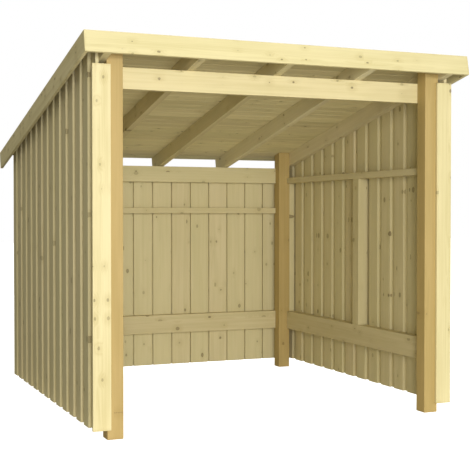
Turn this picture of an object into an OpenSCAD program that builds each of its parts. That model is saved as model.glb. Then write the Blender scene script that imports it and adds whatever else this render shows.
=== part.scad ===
// Open-fronted timber bike shelter with a single-pitch roof that falls to the back.
// X runs to the right as seen from the entrance, Y to the back and Z up, in millimetres.
// The origin is on the ground, under the middle of the roof.

/* [Frame] */
// Side of the square posts
post_w = 95; // [70:5:115]
// Width across the outer faces of the posts
frame_w = 2190; // [1800:10:2800]
// Depth from the front posts' front faces to the rear posts' rear faces
frame_d = 2275; // [1900:5:2800]
// Thickness of the rafters, the front beam and the stiles
timber_t = 45; // [38:1:58]
// Height of the front and rear beams
beam_h = 125; // [95:5:160]
// Clear height under the front beam
entrance_h = 1990; // [1900:5:2200]

/* [Walls] */
// Depth of the wall rails, measured through the wall
rail_d = 70; // [62:1:90]
// Height of the slim rails
slim_rail_h = 45; // [38:1:60]
// Height of the wide lower rails
lower_rail_h = 145; // [95:5:195]
// Height of the lower rails' undersides above the ground
lower_rail_z = 320; // [200:5:500]
// Space between the rear beam's underside and the back wall's middle rail
middle_rail_drop = 206; // [100:1:600]
// Width of the stud in each side wall
stud_w = 88; // [70:1:120]
// Distance of the side walls' studs behind the front posts' front faces
stud_y = 977; // [700:1:1300]

/* [Cladding] */
// Thickness of one layer of cladding boards
board_t = 20; // [15:1:25]
// Width of the side walls' inner boards
board_w = 120; // [100:1:140]
// Width of the outer boards of all three walls
cover_w = 106; // [90:1:140]
// Spacing of the boards in one layer of a side wall
side_pitch = 173.4; // [160:0.1:190]
// Spacing of the boards in one layer of the back wall
back_pitch = 161.6; // [150:0.1:190]
// Gap between the back wall's inner boards
back_gap = 12; // [5:1:40]
// Width ripped off the right wall's first inner board, at the back
right_rip = 15; // [0:1:60]
// Width ripped off the back wall's first inner board, at the left
back_rip = 26; // [0:1:60]
// Height of the cladding's lower edge above the ground
cladding_z = 58; // [30:1:120]
// Space between the back wall's cladding and the rafters over it
cladding_clear = 3; // [1:1:10]

/* [Corner boards] */
// Width of the boards that close the side walls' front ends
corner_w = 106; // [90:1:140]
// How far the corner boards stand past the side walls' outer faces
corner_lap = 3; // [0:1:10]
// Distance from the front beam's top down to the corner boards' tops
corner_drop = 3; // [0:1:40]

/* [Roof] */
// Slope of the roof in degrees
roof_pitch = 11.8; // [8:0.1:14]
// Depth of the rafters, square to the slope
rafter_h = 105; // [90:1:140]
// Depth of the rafters' notch at the rear beam's rear edge
rear_seat = 7; // [4:1:14]
// Thickness of the roof boards
roof_board_t = 18; // [15:1:25]
// Thickness of the fascia, barge boards and corner boards
trim_t = 20; // [15:1:28]
// Length along the slope from the front beam's front face to the fascia's front face
front_reach = 220; // [150:5:350]
// Length along the slope from the back wall's outer face to the roof's rear end
rear_reach = 76; // [40:1:250]
// Space between the side walls' outer faces and the barge boards
side_reach = 50; // [20:1:150]

/* [Hidden] */

// Colours of the timber
POST_COLOUR = "#c79f5f";
FRAME_COLOUR = "#d8cb95";
CLADDING_COLOUR = "#cfc18b";
TRIM_COLOUR = "#ece0ac";

// Plan: the post frame's front face is at y = 0 until the whole is centred by placed()
LEFT = -1;
RIGHT = 1;
post_out_x = frame_w / 2;
clad_in_x = post_out_x + timber_t;
clad_out_x = clad_in_x + 2 * board_t;
back_half_w = clad_in_x + board_t;
rail_in_x = clad_in_x - rail_d;
clad_in_y = frame_d + timber_t;
clad_out_y = clad_in_y + 2 * board_t;
rail_in_y = clad_in_y - rail_d;
rear_post_y = frame_d - post_w;

// Heights: the rafters' underside passes through the front beam's top front edge
front_beam_top = entrance_h + beam_h;
function rafter_underside(y) = front_beam_top - (y - post_w) * tan(roof_pitch);
rear_beam_top = rafter_underside(clad_in_y) + rear_seat;
rear_beam_z = rear_beam_top - beam_h;
middle_rail_z = rear_beam_z - middle_rail_drop - slim_rail_h;
lower_rail_top = lower_rail_z + lower_rail_h;

// Roof, measured along the slope from the front beam's front face
roof_h = rafter_h + roof_board_t;
roof_half_w = clad_out_x + side_reach + trim_t;
slope_start = -front_reach;
slope_deck = slope_start + trim_t;
slope_end = (clad_out_y - post_w) / cos(roof_pitch) + rear_reach;
deck_len = slope_end - slope_deck;

// The rafters stand at equal spaces, the outer ones against the posts' outer faces
RAFTER_STEPS = 2;
rafter_space = (post_out_x + timber_t / 2) / RAFTER_STEPS;

// Height of stock that is then cut to the roof, and size of the block that cuts it
stock_h = front_beam_top + roof_h + post_w;
cutter = 2 * (roof_half_w + deck_len);

// Front and rear ends of the roof, which the origin lies half way between
roof_front_y = post_w + slope_start * cos(roof_pitch);
roof_rear_y = post_w + slope_end * cos(roof_pitch) + roof_h * sin(roof_pitch);

module placed() {
    translate([0, -(roof_front_y + roof_rear_y) / 2, 0])
        children();
}

module on_slope() {
    translate([0, post_w, front_beam_top])
        rotate([-roof_pitch, 0, 0])
            children();
}

module cut_under_roof_boards() {
    difference() {
        children();
        on_slope()
            translate([-cutter / 2, -cutter / 2, rafter_h])
                cube(cutter);
    }
}

// Posts stand on the ground and reach up to the roof boards
module post(side, y) {
    color(POST_COLOUR)
        placed()
            cut_under_roof_boards()
                translate([side * (post_out_x - post_w / 2) - post_w / 2, y, 0])
                    cube([post_w, post_w, stock_h]);
}

module front_beam_block() {
    translate([-clad_in_x, post_w, entrance_h])
        cube([2 * clad_in_x, timber_t, beam_h]);
}

// A rail of the back wall: its inner part fits between the posts, the rest runs behind them
module back_rail_block(z, h) {
    inner_half_w = post_out_x - post_w;
    translate([-inner_half_w, rail_in_y, z])
        cube([2 * inner_half_w, rail_d, h]);
    translate([-clad_in_x, frame_d, z])
        cube([2 * clad_in_x, timber_t, h]);
}

module front_beam() {
    color(TRIM_COLOUR)
        placed()
            front_beam_block();
}

module rear_beam() {
    color(FRAME_COLOUR)
        placed()
            back_rail_block(rear_beam_z, beam_h);
}

module back_rail(z, h) {
    color(FRAME_COLOUR)
        placed()
            back_rail_block(z, h);
}

// A rafter is notched over both beams
module rafter(step) {
    color(FRAME_COLOUR)
        placed()
            difference() {
                on_slope()
                    translate([step * rafter_space - timber_t / 2, slope_deck, 0])
                        cube([timber_t, deck_len, rafter_h]);
                front_beam_block();
                back_rail_block(rear_beam_z, beam_h);
            }
}

// A block in a side wall, from its inner face x out to the cladding
module side_block(side, x, y, z, size_y, size_z) {
    size_x = clad_in_x - x;
    translate([side * (x + size_x / 2) - size_x / 2, y, z])
        cube([size_x, size_y, size_z]);
}

// A rail of a side wall: its inner part fits between the posts, the rest runs outside them
module side_rail(side, z, h) {
    color(FRAME_COLOUR)
        placed() {
            side_block(side, rail_in_x, post_w, z, rear_post_y - post_w, h);
            side_block(side, post_out_x, 0, z, frame_d, h);
        }
}

module side_stud(side) {
    color(FRAME_COLOUR)
        placed()
            side_block(side, rail_in_x, stud_y, lower_rail_top, stud_w, rear_beam_z - lower_rail_top);
}

// A stile stands between the rails, flat against the outer face of the post at y
module side_stile(side, y) {
    color(FRAME_COLOUR)
        placed()
            side_block(side, post_out_x, y, lower_rail_top, post_w, rear_beam_z - lower_rail_top);
}

// Plan of a board-on-board wall: gapped inner boards, and outer boards over the gaps. The
// first inner board is ripped narrower, and the last boards are ripped to the wall's length.
module board_on_board(length, pitch, inner_w, rip) {
    first_gap = (pitch + inner_w) / 2 - rip;
    for (u = [-rip : pitch : length - 1])
        translate([max(u, 0), 0])
            square([min(u + inner_w, length) - max(u, 0), board_t]);
    for (u = [first_gap - cover_w / 2 : pitch : length - cover_w / 2])
        translate([u, board_t])
            square([min(cover_w, length - u), board_t]);
}

// The right wall is laid as the left wall turned half a turn, so it starts from the back
module side_cladding(side) {
    color(CLADDING_COLOUR)
        placed()
            cut_under_roof_boards()
                translate([side * clad_in_x, side == LEFT ? 0 : clad_in_y, cladding_z])
                    rotate(-90 * side)
                        linear_extrude(stock_h)
                            board_on_board(clad_in_y, side_pitch, board_w, side == LEFT ? 0 : right_rip);
}

// The back wall covers the ends of the side walls' inner boards
module back_cladding() {
    cladding_top = rafter_underside(clad_out_y) - cladding_clear;
    color(CLADDING_COLOUR)
        placed()
            translate([-back_half_w, clad_in_y, cladding_z])
                linear_extrude(cladding_top - cladding_z)
                    board_on_board(2 * back_half_w, back_pitch, back_pitch - back_gap, back_rip);
}

module corner_board(side) {
    middle_x = clad_out_x + corner_lap - corner_w / 2;
    color(TRIM_COLOUR)
        placed()
            translate([side * middle_x - corner_w / 2, -trim_t, cladding_z])
                cube([corner_w, trim_t, front_beam_top - corner_drop - cladding_z]);
}

module front_fascia() {
    color(TRIM_COLOUR)
        placed()
            on_slope()
                translate([-roof_half_w, slope_start, 0])
                    cube([2 * roof_half_w, trim_t, roof_h]);
}

module barge_board(side) {
    middle_x = roof_half_w - trim_t / 2;
    color(TRIM_COLOUR)
        placed()
            on_slope()
                translate([side * middle_x - trim_t / 2, slope_deck, 0])
                    cube([trim_t, deck_len, roof_h]);
}

module roof_boards() {
    half_w = roof_half_w - trim_t;
    color(FRAME_COLOUR)
        placed()
            on_slope()
                translate([-half_w, slope_deck, rafter_h])
                    cube([2 * half_w, deck_len, roof_board_t]);
}

post(LEFT, 0);  // post_front_left
post(RIGHT, 0);  // post_front_right
post(LEFT, rear_post_y);  // post_rear_left
post(RIGHT, rear_post_y);  // post_rear_right
front_beam();
rear_beam();
rafter(-RAFTER_STEPS);  // rafter_left
rafter(-1);  // rafter_inner_left
rafter(0);  // rafter_middle
rafter(1);  // rafter_inner_right
rafter(RAFTER_STEPS);  // rafter_right
side_rail(LEFT, rear_beam_z, slim_rail_h);  // left_upper_rail
side_rail(LEFT, lower_rail_z, lower_rail_h);  // left_lower_rail
side_stile(LEFT, 0);  // left_front_stile
side_stud(LEFT);  // left_stud
side_stile(LEFT, rear_post_y);  // left_rear_stile
side_rail(RIGHT, rear_beam_z, slim_rail_h);  // right_upper_rail
side_rail(RIGHT, lower_rail_z, lower_rail_h);  // right_lower_rail
side_stile(RIGHT, 0);  // right_front_stile
side_stud(RIGHT);  // right_stud
side_stile(RIGHT, rear_post_y);  // right_rear_stile
back_rail(middle_rail_z, slim_rail_h);  // back_middle_rail
back_rail(lower_rail_z, lower_rail_h);  // back_lower_rail
side_cladding(LEFT);  // left_wall_cladding
side_cladding(RIGHT);  // right_wall_cladding
back_cladding();  // back_wall_cladding
corner_board(LEFT);  // corner_board_left
corner_board(RIGHT);  // corner_board_right
front_fascia();
barge_board(LEFT);  // barge_board_left
barge_board(RIGHT);  // barge_board_right
roof_boards();
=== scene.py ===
# %% [markdown]
# # An open-fronted timber bike shelter
# The real shelter is a kit of planed, pressure-treated softwood: four square posts, two
# beams, five rafters, rails between the posts, and walls and a roof of thin boards.
# The solids already stand in their places. This lesson leaves them there and dresses each
# one: its corners are eased, its boards are parted, and its grain follows its length.

import math
import random

import bmesh
import bpy
from mathutils import Matrix, Vector


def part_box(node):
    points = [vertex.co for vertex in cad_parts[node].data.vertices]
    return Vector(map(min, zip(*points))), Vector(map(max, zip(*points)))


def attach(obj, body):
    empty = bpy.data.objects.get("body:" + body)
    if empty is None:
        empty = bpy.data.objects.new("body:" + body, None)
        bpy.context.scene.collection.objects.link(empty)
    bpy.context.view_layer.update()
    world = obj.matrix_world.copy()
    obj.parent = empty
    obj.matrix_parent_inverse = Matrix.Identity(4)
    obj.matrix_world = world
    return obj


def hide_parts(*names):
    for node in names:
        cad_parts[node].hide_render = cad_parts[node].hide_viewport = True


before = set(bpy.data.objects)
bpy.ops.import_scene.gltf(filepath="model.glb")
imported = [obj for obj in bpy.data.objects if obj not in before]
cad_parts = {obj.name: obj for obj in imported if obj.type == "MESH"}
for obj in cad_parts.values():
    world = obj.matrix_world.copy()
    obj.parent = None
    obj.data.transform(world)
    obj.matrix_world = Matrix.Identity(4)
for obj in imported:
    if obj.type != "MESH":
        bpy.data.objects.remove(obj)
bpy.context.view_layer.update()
scene = bpy.context.scene

# %% [markdown]
# ## Camera
# The picture was taken from the left of the open front, a little below eye level, with a
# long lens, so the posts stand almost parallel. The place, turn and dip below come from
# lining up the posts, beams and rails with their edges in the picture. A camera turned by
# hand would do for a sketch, but here the boards have to fall on the same lines.

# %% Place the camera
CAMERA_PLACE = (-2.696, -6.824, 1.271)
CAMERA_TURN = 22.825  # degrees to the right
CAMERA_DIP = 1.125  # degrees below level
LENS = 79.7  # mm
SENSOR_WIDTH = 36  # mm

camera = bpy.data.objects.new("picture_camera", bpy.data.cameras.new("picture_camera"))
camera.data.sensor_fit = "HORIZONTAL"
camera.data.sensor_width = SENSOR_WIDTH
camera.data.lens = LENS
camera.location = CAMERA_PLACE
camera.rotation_euler = (math.radians(90 - CAMERA_DIP), 0, math.radians(-CAMERA_TURN))
scene.collection.objects.link(camera)
scene.camera = camera
print("camera", CAMERA_PLACE, "lens", LENS)

# %% [markdown]
# ## Writing shaders as sums
# A wood grain is mostly arithmetic: distances, remainders and blends. Drawing it node by
# node hides that, so a small class wraps one socket and turns Python's own signs into Math
# nodes. Every other node comes from one method, which sets its options before its sockets.

# %% Sheets and wires
class Wire:
    """One output of a node. Sums written with it become Math nodes on its sheet."""

    def __init__(self, sheet, socket):
        self.sheet = sheet
        self.socket = socket

    def sum(self, operation, *values):
        return self.sheet.add("ShaderNodeMath", {"operation": operation}, dict(enumerate(values)))

    def other(self, name):
        return Wire(self.sheet, self.sheet.find(self.socket.node.outputs, name))

    def __add__(self, value):
        return self.sum("ADD", self, value)

    def __sub__(self, value):
        return self.sum("SUBTRACT", self, value)

    def __rsub__(self, value):
        return self.sum("SUBTRACT", value, self)

    def __mul__(self, value):
        return self.sum("MULTIPLY", self, value)

    def __truediv__(self, value):
        return self.sum("DIVIDE", self, value)

    def __rtruediv__(self, value):
        return self.sum("DIVIDE", value, self)

    def __pow__(self, value):
        return self.sum("POWER", self, value)

    __radd__ = __add__
    __rmul__ = __mul__


class Sheet:
    """An empty node tree, and the one way to put a node on it."""

    def __init__(self, tree):
        self.tree = tree
        tree.nodes.clear()

    def find(self, sockets, name):
        if isinstance(name, int):
            return sockets[name]
        return next(s for s in sockets if name in (s.identifier, s.name))

    def add(self, kind, settings=None, sockets=None, out=0):
        node = self.tree.nodes.new(kind)
        for name, value in (settings or {}).items():
            setattr(node, name, value)
        for name, value in (sockets or {}).items():
            socket = self.find(node.inputs, name)
            if isinstance(value, Wire):
                self.tree.links.new(value.socket, socket)
            else:
                socket.default_value = value
        return Wire(self, self.find(node.outputs, out)) if node.outputs else node


print("sheets and wires ready")

# %% [markdown]
# ## Studio
# The shelter stands in plain white. A white surround is a lamp as well, and it would light
# the sides too much, so only the camera sees the white. Every other ray meets a dim, warm
# surround in its place, which fills the shade a little. A white backdrop would also do, but
# it would show an edge from some sides.

# %% Set the surround
WHITE = (1, 1, 1, 1)
SURROUND_COLOUR = (1, 0.955, 0.78, 1)
SURROUND_GLOW = 0.405

scene.world = bpy.data.worlds.new("white_surround")
scene.world.use_nodes = True
surround = Sheet(scene.world.node_tree)
lamp_glow = {"Color": SURROUND_COLOUR, "Strength": SURROUND_GLOW}
dim = surround.add("ShaderNodeBackground", {}, lamp_glow)
white = surround.add("ShaderNodeBackground", {}, {"Color": WHITE, "Strength": 1.0})
seen = surround.add("ShaderNodeLightPath", out="Is Camera Ray")
mixed = surround.add("ShaderNodeMixShader", {}, {0: seen, 1: dim, 2: white})
surround.add("ShaderNodeOutputWorld", {}, {"Surface": mixed})
scene.view_settings.view_transform = "Standard"
print("surround set")

# %% [markdown]
# Three tall soft panels stand in front. The left one is the strongest, so the board edges
# along the left wall catch the light. The middle one reaches the whole back wall evenly, and
# the right one only brightens what faces the front. One large panel would be simpler, but
# its light would fade from one side of the back wall to the other. Two more panels keep the
# roof and the back readable from those sides.

# %% Hang the soft panels
SHELTER_MIDDLE = (0.0, 0.0, 1.1)


def soft_light(name, place, aim, width, height, power):
    lamp = bpy.data.lights.new(name, "AREA")
    lamp.shape = "RECTANGLE"
    lamp.size, lamp.size_y, lamp.energy = width, height, power
    holder = bpy.data.objects.new(name, lamp)
    holder.location = place
    holder.rotation_euler = (Vector(aim) - Vector(place)).to_track_quat("-Z", "Y").to_euler()
    scene.collection.objects.link(holder)
    print(name, power, "W")


# Name, place, aim, width and height in metres, and watts
soft_light("left_panel", (-2.8, -9.0, 1.8), SHELTER_MIDDLE, 1.7, 3.4, 400)
soft_light("middle_panel", (0.7, -9.0, 1.9), SHELTER_MIDDLE, 2.4, 3.4, 170)
soft_light("right_panel", (7.5, -6.5, 1.9), (0.0, -1.0, 1.1), 2.4, 3.4, 135)
soft_light("roof_panel", (0.0, 1.4, 7.5), (0.0, 0.4, 0.0), 5.0, 5.0, 150)
soft_light("back_panel", (3.5, 8.5, 1.5), SHELTER_MIDDLE, 6.0, 2.4, 240)

# %% [markdown]
# The floor is a wide sheet at the posts' feet. The camera sees it with a glow of its own, as
# on a lit table, which brings it up to the white around it, so no horizon shows. Lamp rays
# meet a matt sheet instead. A pale mat inside and in front of the shelter throws light up
# under the roof, and the rest is dull, so the shade under the roof's edges stays dark.

# %% Lay the floor
MAT_BOUNCE = (0.92, 0.89, 0.82, 1)
DULL_BOUNCE = (0.2, 0.2, 0.2, 1)
MAT_ACROSS = (-1.3, 1.3)
MAT_DEEP = (-6.0, 1.1)
FLOOR_REACH = 40
FLOOR_TONES = ((0.84, 0.84, 0.84, 1), (0.86, 0.86, 0.86, 1))
FLOOR_GLOW = 0.97
FLOOR_ROUGH = 0.9


def pale_sheet(name, bounce_colour):
    paint = bpy.data.materials.new(name)
    paint.use_nodes = True
    s = Sheet(paint.node_tree)
    drift = s.add("ShaderNodeTexNoise", {}, {"Scale": 0.8, "Detail": 2.0})
    tones = {"Factor_Float": drift, "A_Color": FLOOR_TONES[0], "B_Color": FLOOR_TONES[1]}
    tone = s.add("ShaderNodeMix", {"data_type": "RGBA"}, tones, "Result_Color")
    table = {"Base Color": tone, "Roughness": FLOOR_ROUGH, "Specular IOR Level": 0.0}
    table |= {"Emission Color": WHITE, "Emission Strength": FLOOR_GLOW}
    lit = s.add("ShaderNodeBsdfPrincipled", {}, table)
    bounce = s.add("ShaderNodeBsdfDiffuse", {}, {"Color": bounce_colour})
    seen = s.add("ShaderNodeLightPath", out="Is Camera Ray")
    mixed = s.add("ShaderNodeMixShader", {}, {0: seen, 1: bounce, 2: lit})
    s.add("ShaderNodeOutputMaterial", {}, {"Surface": mixed})
    return paint


columns = (-FLOOR_REACH, *MAT_ACROSS, FLOOR_REACH)
rows = (-FLOOR_REACH, *MAT_DEEP, FLOOR_REACH)
corners = [4 * row + column for row in range(3) for column in range(3)]
floor_mesh = bpy.data.meshes.new("floor")
floor_mesh.from_pydata(
    [(x, y, 0) for y in rows for x in columns], [], [(c, c + 1, c + 5, c + 4) for c in corners]
)
floor_mesh.materials.append(pale_sheet("dull_floor", DULL_BOUNCE))
floor_mesh.materials.append(pale_sheet("pale_mat", MAT_BOUNCE))
middle_face = floor_mesh.polygons[len(corners) // 2]
middle_face.material_index = 1
floor = bpy.data.objects.new("floor", floor_mesh)
scene.collection.objects.link(floor)
print("floor laid")

# %% [markdown]
# ## What every timber knows about itself
# Grain has to run along each stick, whichever way the stick points, and no two boards may
# share a knot. Object coordinates can't give that for a wall of boards joined into one
# piece. So each stick stores four notes on its points: its place from the middle of the
# stick (along, across, through), its half sizes, a shift to a log of its own, and a mood.

# %% Read the notes
def notes(sheet, name):
    return sheet.add("ShaderNodeAttribute", {"attribute_name": name}, {}, "Vector")


def vectors(sheet, operation, first, second, out="Vector"):
    return sheet.add("ShaderNodeVectorMath", {"operation": operation}, {0: first, 1: second}, out)


def parts(sheet, vector):
    x = sheet.add("ShaderNodeSeparateXYZ", {}, {"Vector": vector}, "X")
    return x, x.other("Y"), x.other("Z")


def cloud(sheet, vector, stretch, detail=2.0, rough=0.5):
    """Noise between 0 and 1, stretched: small numbers make long shapes."""
    place = vectors(sheet, "MULTIPLY", vector, stretch)
    sockets = {"Vector": place, "Scale": 1.0, "Detail": detail, "Roughness": rough}
    return sheet.add("ShaderNodeTexNoise", {}, sockets, "Fac")


def ramp(sheet, value, low, high):
    """0 below low, 1 above high, and a soft climb between them."""
    sockets = {"Value": value, "From Min": low, "From Max": high}
    return sheet.add("ShaderNodeMapRange", {"interpolation_type": "SMOOTHSTEP"}, sockets)


def blend(sheet, share, first, second):
    sockets = {"Factor_Float": share, "A_Color": first, "B_Color": second}
    return sheet.add("ShaderNodeMix", {"data_type": "RGBA"}, sockets, "Result_Color")


print("notes: place, half, shift, mood")

# %% [markdown]
# ## Knots
# A knot is a branch that the saw cut through. Branches leave the middle of the log in whorls,
# several at one height, so knots come in small groups: round where the saw met a branch
# square on, and drawn out towards the board's edge where it met it slantwise. Scattered dots
# would miss that. So one row of random cells places the whorls along the log, a second row
# places the branches round it, and the knot is whatever lies close to a branch.

# %% Grow the knots
WHORL_GAP = 0.15  # metres from whorl to whorl
WHORL_TURN = 37.7  # turns each whorl away from the last
BRANCHES = 8
KNOT_OVAL = 0.6
RAGGED = 0.005  # metres that a knot's edge wanders
RAGGED_STRETCH = (90, 140, 140)
HEART_EDGE = (-0.001, 0.0015)
RIM_DEPTH = (0.001, 0.004)
BULGE_REACH = (-0.03, 0.0)
BULGE_RADIUS = (0.0, 0.003)
FAINTEST_KNOT = 0.42


def row_of_cells(sheet, value):
    """The middle of the random cell that this value lies in, and three random numbers."""
    row = {"voronoi_dimensions": "1D"}
    cell = sheet.add("ShaderNodeTexVoronoi", row, {"W": value, "Scale": 1.0}, "W")
    return cell, parts(sheet, cell.other("Color"))


def knots(sheet, grain, widest, share):
    along, across, through = parts(sheet, grain)
    height = along / WHORL_GAP
    whorl, _ = row_of_cells(sheet, height)
    turn = across.sum("ARCTAN2", across, through) * (BRANCHES / math.tau) + whorl * WHORL_TURN
    branch, (luck, age, _) = row_of_cells(sheet, turn)
    reach = (across ** 2 + through ** 2) ** 0.5
    beside = (turn - branch) * reach * (math.tau / BRANCHES)
    above = (height - whorl) * (WHORL_GAP * KNOT_OVAL)
    ragged = cloud(sheet, grain, RAGGED_STRETCH) * RAGGED - RAGGED / 2
    distance = (beside ** 2 + above ** 2) ** 0.5 + ragged
    radius = (luck - (1 - share)) * (widest / share)
    depth = radius - distance
    darkness = FAINTEST_KNOT + age ** 2 * (1 - FAINTEST_KNOT)
    heart = ramp(sheet, depth, *HEART_EDGE) * darkness
    rim = heart * (1 - ramp(sheet, depth, *RIM_DEPTH))
    bulge = ramp(sheet, depth, *BULGE_REACH) * ramp(sheet, radius, *BULGE_RADIUS)
    return heart, rim, bulge


print("a whorl every", WHORL_GAP, "m with up to", BRANCHES, "branches")

# %% [markdown]
# ## Growth rings and streaks
# A board is a slice beside the middle of a log, so its rings are shells round a line outside
# the board. The distance to that line, divided by the ring width, climbs by one each year.
# Slow noise bends the shells into the long flames of a flat-sawn face, and the remainder of
# the climb gives the pale spring wood that darkens towards autumn and then stops short.

# %% Draw the rings
RING_WIDTH = 0.0042
RING_WANDER = 0.03  # metres that slow noise bends a ring
RING_STRETCH = (0.8, 7, 7)
KNOT_DETOUR = 0.006  # metres that a ring bends round a knot
AUTUMN_CURVE = 2.0
AUTUMN_END = 0.86  # share of the year after which the dark wood stops


def rings(sheet, grain, bulge):
    wander = cloud(sheet, grain, RING_STRETCH, 3.0) - 0.5
    reach = vectors(sheet, "MULTIPLY", grain, (0, 1, 1))
    reach = vectors(sheet, "LENGTH", reach, (0, 0, 0), "Value")
    year = (reach + wander * RING_WANDER + bulge * KNOT_DETOUR) / RING_WIDTH
    season = year.sum("FRACT", year)
    return season ** AUTUMN_CURVE * (1 - ramp(sheet, season, AUTUMN_END, 1.0))


print("ring width", RING_WIDTH)

# %% [markdown]
# ## Corners and ends
# Handling wears a timber first along its corners, and each stick is made darker within a
# couple of centimetres of its cut ends. Each point's distance to the nearest corner is the
# middle one of its three distances to the stick's faces: the least is the face it lies on.
# No baked map is needed for that.

# %% Measure to the corners
def corner_distance(sheet, place, half):
    inside = sheet.add("ShaderNodeVectorMath", {"operation": "ABSOLUTE"}, {0: place})
    end, side, face = parts(sheet, vectors(sheet, "SUBTRACT", half, inside))
    least, most = end.sum("MINIMUM", end, side), end.sum("MAXIMUM", end, side)
    return least.sum("MAXIMUM", least, most.sum("MINIMUM", most, face)), end


print("corner wear ready")

# %% [markdown]
# ## One timber finish, several stains
# All the timbers are the same softwood, so one recipe serves: rings and streaks darken a
# pale colour, a green drift recalls the treatment, the board's mood lifts or drops it as a
# whole, and knots go over everything. Late wood and fibres also raise a fine relief. A
# recipe for each kind of timber would only repeat these lines with other numbers.

# %% Write the recipe
STREAK_STRETCH, BAND_STRETCH, FIBRE_STRETCH = (0.8, 55, 55), (2.0, 17, 17), (14, 620, 620)
WEAR_REACH, END_REACH = 0.006, 0.02  # metres from a corner, and from a cut end
STREAK_SHADE, BAND_SHADE, BULGE_SHADE, END_SHADE = 0.9, 1.1, 0.35, 0.3
MIDDLE_SHADE = 0.35
GREEN_TINT = (0.90, 0.98, 0.86, 1)
GREEN_LEAST, GREEN_LUCK, GREEN_BAND = 0.2, 0.25, 0.3
WORN_SHARE, WORN_LIFT = 0.25, 1.12
HEART_SHARE, HEART_FIBRE, RIM_SHARE = 0.6, 0.2, 0.2
FIBRE_RELIEF, RING_RELIEF, HEART_RELIEF = 0.5, 0.35, 0.3
RELIEF = {"Strength": 0.25, "Distance": 0.0012}
STREAK_ROUGH, HEART_ROUGH, WORN_ROUGH = 0.18, 0.12, 0.1
SHEEN = 0.35


def timber(
    name, pale_wood, dark_wood, knot_wood,
    ring_share, knot_size, knot_share, roughness, spread=0.2,
):
    material = bpy.data.materials.new(name)
    material.use_nodes = True
    s = Sheet(material.node_tree)
    place = notes(s, "place")
    half = notes(s, "half")
    grain = vectors(s, "ADD", place, notes(s, "shift"))
    tone_luck, warm_luck, _ = parts(s, notes(s, "mood"))

    heart, rim, bulge = knots(s, grain, knot_size, knot_share)
    late = rings(s, grain, bulge)
    streak = cloud(s, grain, STREAK_STRETCH, 3.0, 0.6)
    band = cloud(s, grain, BAND_STRETCH, 3.0)
    fibre = cloud(s, grain, FIBRE_STRETCH, 2.0, 0.7)
    corner, end = corner_distance(s, place, half)
    worn = (1 - ramp(s, corner, 0.0, WEAR_REACH)) * streak
    # Darker within END_REACH of each cut end, on every face there.
    cut = 1 - ramp(s, end, 0.0, END_REACH)

    darker = late * ring_share + (streak - 0.5) * STREAK_SHADE + (band - 0.5) * BAND_SHADE
    darker = darker + MIDDLE_SHADE + bulge * BULGE_SHADE
    darker = darker + (tone_luck - 0.5) * spread + cut * END_SHADE
    colour = blend(s, ramp(s, darker, 0.0, 1.0), pale_wood, dark_wood)
    green = tuple(v * g for v, g in zip(pale_wood, GREEN_TINT))
    colour = blend(s, GREEN_LEAST + warm_luck * GREEN_LUCK + band * GREEN_BAND, colour, green)
    bare = tuple(min(1, v * WORN_LIFT) for v in pale_wood)
    colour = blend(s, worn * WORN_SHARE, colour, bare)
    knot = heart * (HEART_SHARE + HEART_FIBRE * fibre) + rim * RIM_SHARE
    colour = blend(s, knot, colour, knot_wood)

    height = fibre * FIBRE_RELIEF + late * RING_RELIEF - heart * HEART_RELIEF
    relief = s.add("ShaderNodeBump", {}, RELIEF | {"Height": height})
    rough = roughness + (streak - 0.5) * STREAK_ROUGH - heart * HEART_ROUGH + worn * WORN_ROUGH
    wood = {"Base Color": colour, "Roughness": rough, "Normal": relief}
    wood |= {"Specular IOR Level": SHEEN}
    shader = s.add("ShaderNodeBsdfPrincipled", {}, wood)
    s.add("ShaderNodeOutputMaterial", {}, {"Surface": shader})
    print(name, "uses", len(material.node_tree.nodes), "nodes")
    return material


print("recipe written")

# %% [markdown]
# A stain is two colours for the recipe, with how much the rings show and how many knots the
# timber has. The posts are an orange brown, and the trim and the roof are the palest. The
# front beam is framing too, with a paler stain of its own. The two rafters on the right get a
# paler copy of the framing stain, which is painted light: it stands in for the light that
# reaches their sides away from the left wall's shade. One stain for all would be simpler, but
# then a post would hardly stand out from the boards behind it.

# %% Mix the stains
KNOT_BROWN = (0.14, 0.09, 0.03, 1)
KNOT_DARK = (0.09, 0.052, 0.016, 1)
post_stain = timber(
    "post_stain", (0.55, 0.385, 0.158, 1), (0.38, 0.248, 0.083, 1), KNOT_BROWN,
    ring_share=0.45, knot_size=0.008, knot_share=0.1, roughness=0.62,
)
frame_stain = timber(
    "frame_stain", (0.68, 0.57, 0.34, 1), (0.525, 0.415, 0.215, 1), KNOT_BROWN,
    ring_share=0.3, knot_size=0.012, knot_share=0.4, roughness=0.66,
)
# Painted light: a paler copy of the framing stain for the two right rafters, standing in for the
# light that reaches them.
rafter_stain = timber(
    "rafter_stain", (0.78, 0.67, 0.45, 1), (0.615, 0.495, 0.294, 1), KNOT_BROWN,
    ring_share=0.3, knot_size=0.012, knot_share=0.4, roughness=0.66,
)
wall_stain = timber(
    "wall_stain", (0.70, 0.588, 0.354, 1), (0.555, 0.45, 0.241, 1), KNOT_BROWN,
    ring_share=0.3, knot_size=0.012, knot_share=0.24, roughness=0.68,
)
trim_stain = timber(
    "trim_stain", (0.82, 0.70, 0.413, 1), (0.58, 0.45, 0.21, 1), KNOT_DARK,
    ring_share=0.3, knot_size=0.0075, knot_share=0.6, roughness=0.64,
)
beam_stain = timber(
    "beam_stain", (0.76, 0.64, 0.37, 1), (0.54, 0.42, 0.20, 1), KNOT_DARK,
    ring_share=0.3, knot_size=0.008, knot_share=0.7, roughness=0.64,
)
roof_stain = timber(
    "roof_stain", (0.835, 0.718, 0.442, 1), (0.495, 0.403, 0.221, 1), KNOT_BROWN,
    ring_share=0.4, knot_size=0.007, knot_share=0.25, roughness=0.68, spread=0.6,
)

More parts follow.
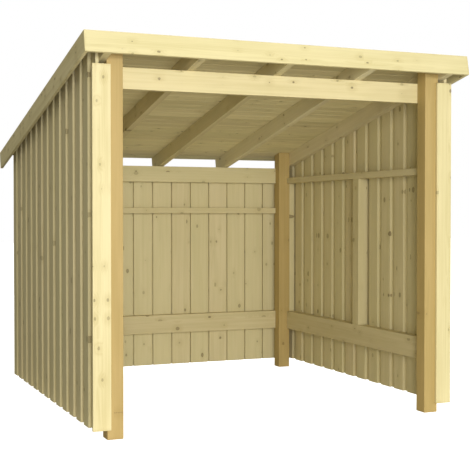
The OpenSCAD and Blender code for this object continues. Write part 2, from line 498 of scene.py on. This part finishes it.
# %% [markdown]
# ## Sticks from solids
# The solids come in as triangles with razor corners. Welding their points and dissolving
# every edge between flat neighbours brings back whole faces, notches and slanted cuts
# included, which is safer than measuring each timber anew. The planer's eased corners are a
# narrow bevel, and only on corners that stick out: the inside of a notch stays sharp.

# %% Take a solid as a stick
WELD_GAP = 1e-5
FLAT_ANGLE = math.radians(0.5)
PROUD_ANGLE = 0.3  # radians


def whole_faces(node):
    shape = bmesh.new()
    shape.from_mesh(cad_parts[node].data)
    bmesh.ops.remove_doubles(shape, verts=shape.verts, dist=WELD_GAP)
    flat = {"angle_limit": FLAT_ANGLE, "verts": shape.verts, "edges": shape.edges}
    bmesh.ops.dissolve_limit(shape, **flat)
    shape.normal_update()
    return shape


def grain_axes(shape):
    """Rows: along the longest edge, across the widest face, and through the stick."""
    longest = max(shape.edges, key=lambda edge: edge.calc_length())
    along = (longest.verts[1].co - longest.verts[0].co).normalized()
    widest = max(shape.faces, key=lambda face: face.calc_area())
    across = widest.normal.cross(along).normalized()
    return Matrix((along, across, along.cross(across)))


def ease_corners(shape, ease):
    proud = [e for e in shape.edges if e.is_convex and e.calc_face_angle(0) > PROUD_ANGLE]
    bevel = {"offset": ease, "offset_type": "OFFSET", "segments": 2, "profile": 0.5}
    bmesh.ops.bevel(shape, geom=proud, affect="EDGES", clamp_overlap=True, **bevel)


check = whole_faces("rafter_middle")
print("a rafter has", len(check.faces), "whole faces")
check.free()

# %% [markdown]
# ## A pile of sticks becomes a piece
# One wall is dozens of boards but one piece, so the sticks go onto a pile, and the pile is
# made into a mesh once. Each stick's four notes are written while it is still on its own,
# from its own axes. The random numbers are seeded with the piece's name, so every run saws
# the same boards.

# %% Pile sticks up
NOTES = ("place", "half", "shift", "mood")
LOG_LENGTH = 60
PITH_DEPTH = (0.03, 0.1)  # metres from the stick's middle to the log's
PITH_ASIDE = 0.05


class Pile:
    def __init__(self, name):
        self.name = name
        self.luck = random.Random(name)
        self.points, self.faces = [], []
        self.notes = {note: [] for note in NOTES}

    def lay(self, shape, ease):
        """Adds one stick with its corners eased, and writes its notes."""
        axes = grain_axes(shape)
        places = [axes @ v.co for v in shape.verts]
        low = Vector(map(min, zip(*places)))
        high = Vector(map(max, zip(*places)))
        middle, half = (low + high) / 2, (high - low) / 2
        ease_corners(shape, ease)
        luck = self.luck
        pith = luck.choice((-1, 1)) * luck.uniform(*PITH_DEPTH)
        aside = (-PITH_ASIDE, PITH_ASIDE)
        shift = Vector((luck.uniform(0, LOG_LENGTH), luck.uniform(*aside), pith))
        mood = Vector((luck.random(), luck.random(), luck.random()))
        first = len(self.points)
        shape.verts.index_update()
        for vert in shape.verts:
            self.points.append(vert.co.copy())
            for note, value in zip(NOTES, (axes @ vert.co - middle, half, shift, mood)):
                self.notes[note].extend(value)
        self.faces += [[first + v.index for v in face.verts] for face in shape.faces]
        shape.free()

    def piece(self, finish, slot, *nodes):
        mesh = bpy.data.meshes.new(self.name)
        mesh.from_pydata(self.points, [], self.faces)
        for note, values in self.notes.items():
            mesh.attributes.new(note, "FLOAT_VECTOR", "POINT").data.foreach_set("vector", values)
        mesh.materials.append(finish)
        made = bpy.data.objects.new(self.name, mesh)
        scene.collection.objects.link(made)
        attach(made, "root")
        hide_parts(*nodes)


def dress(node, ease, finish, slot):
    pile = Pile(node + "_timber")
    pile.lay(whole_faces(node), ease)
    pile.piece(finish, slot, node)


print("piles ready")

# %% [markdown]
# ## Posts
# Four square posts carry everything. They are darker and more orange than the boards, and
# their corners are rounded the most, because they are planed all round. Plain boxes would
# nearly do, but the solids bring the cuts at the posts' tops along.

# %% Dress the posts
POST_EASE = 0.004
posts = ["post_front_left", "post_front_right", "post_rear_left", "post_rear_right"]
for node in posts:
    dress(node, POST_EASE, post_stain, "post_timber")
print("posts:", len(posts))

# %% [markdown]
# ## Beams, rafters, rails, stiles and studs
# These are planed joists and battens. The rafters' notches over the beams and the rails'
# rebates round the posts come over from the solids, so the joints close as they do there.
# New boxes with cut-outs would have to repeat every notch.

# %% Dress the framing
FRAME_EASE = 0.0025
beams = ["front_beam", "rear_beam"]
rafters = ["rafter_" + side for side in ("left", "inner_left", "middle", "inner_right", "right")]
side_parts = ("upper_rail", "lower_rail", "front_stile", "stud", "rear_stile")
rails = [f"{side}_{part}" for side in ("left", "right") for part in side_parts]
rails += ["back_middle_rail", "back_lower_rail"]
# The two right rafters take the paler copy of the framing stain as painted light, not because
# their timber differs.
lit_rafters = ["rafter_inner_right", "rafter_right"]
stains = {"front_beam": beam_stain} | dict.fromkeys(lit_rafters, rafter_stain)
for node in beams + rafters + rails:
    dress(node, FRAME_EASE, stains.get(node, frame_stain), "frame_timber")
print("framing:", len(beams + rafters + rails))

# %% [markdown]
# ## Walls, board on board
# Two layers make each wall: inner boards with gaps, and outer boards nailed over the gaps.
# The solid of a wall holds both layers in one. Every board shows one whole face, on the
# inner or the outer plane, so a face pushed in by half the wall's thickness is a board
# again, with its slanted top and all.

# %% Split the walls into boards
BOARD_EASE = 0.003
FACING = 0.99
ON_PLANE = 1e-4


def plank(corners, push):
    """A board with this face, as thick as the push behind it."""
    shape = bmesh.new()
    face = [shape.verts.new(c) for c in corners]
    back = [shape.verts.new(c + push) for c in corners]
    shape.faces.new(face)
    shape.faces.new(back[::-1])
    for i, near in enumerate(face):
        j = (i + 1) % len(face)
        shape.faces.new((face[j], near, back[i], back[j]))
    bmesh.ops.recalc_face_normals(shape, faces=shape.faces)
    return shape


def dress_wall(node, axis):
    wall = whole_faces(node)
    low, high = (corner[axis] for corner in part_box(node))
    pile = Pile(node + "_boards")
    boards = 0
    for face in wall.faces:
        level = face.calc_center_median()[axis]
        depth = min(abs(level - low), abs(level - high))
        if abs(face.normal[axis]) > FACING and depth < ON_PLANE:
            push = -face.normal * (high - low) / 2
            pile.lay(plank([v.co.copy() for v in face.verts], push), BOARD_EASE)
            boards += 1
    wall.free()
    pile.piece(wall_stain, "cladding_boards", node)
    print(node, "has", boards, "boards")


dress_wall("left_wall_cladding", 0)
dress_wall("right_wall_cladding", 0)
dress_wall("back_wall_cladding", 1)

# %% [markdown]
# ## Trim
# Corner boards close the side walls' front ends, a fascia runs along the front of the roof
# and a barge board along each side. They are among the palest boards, so they get a stain
# of their own. Stronger lamps could lift them too, but would lift the posts beside them.

# %% Dress the trim
TRIM_EASE = 0.002
trim = ["corner_board_left", "corner_board_right", "front_fascia"]
trim += ["barge_board_left", "barge_board_right"]
for node in trim:
    dress(node, TRIM_EASE, trim_stain, "trim_boards")
print("trim boards:", len(trim))

# %% [markdown]
# ## Roof boards
# The roof is tongued boards that run from side to side, pushed tight together. Their
# tongues never show, so each board is a plain plank that touches the next, and its eased
# corners make the fine V that shows from below. Their number comes from the roof's length.

# %% Lay the roof boards
ROOF_COVER = 0.09
ROOF_EASE = 0.005


def dress_roof(node):
    slab = whole_faces(node)
    soffit = min(slab.faces, key=lambda face: face.normal.z)
    top = max(slab.faces, key=lambda face: face.normal.z)
    thick = (top.calc_center_median() - soffit.calc_center_median()).dot(top.normal)
    from_front = sorted(soffit.verts, key=lambda v: v.co.y)
    front, back = from_front[:2], from_front[2:]
    left, right = sorted((v.co.copy() for v in front), key=lambda c: c.x)
    run = min(v.co.y for v in back) - left.y
    rise = max(v.co.z for v in back) - left.z
    slope = Vector((0, run, rise))
    count = round(slope.length / ROOF_COVER)
    push = top.normal * thick
    slab.free()
    pile = Pile(node + "_planks")
    for i in range(count):
        near, far = slope * (i / count), slope * ((i + 1) / count)
        pile.lay(plank([left + near, right + near, right + far, left + far], push), ROOF_EASE)
    pile.piece(roof_stain, "roof_boards", node)
    print(count, "roof boards of", round(slope.length / count, 4), "m")


dress_roof("roof_boards")
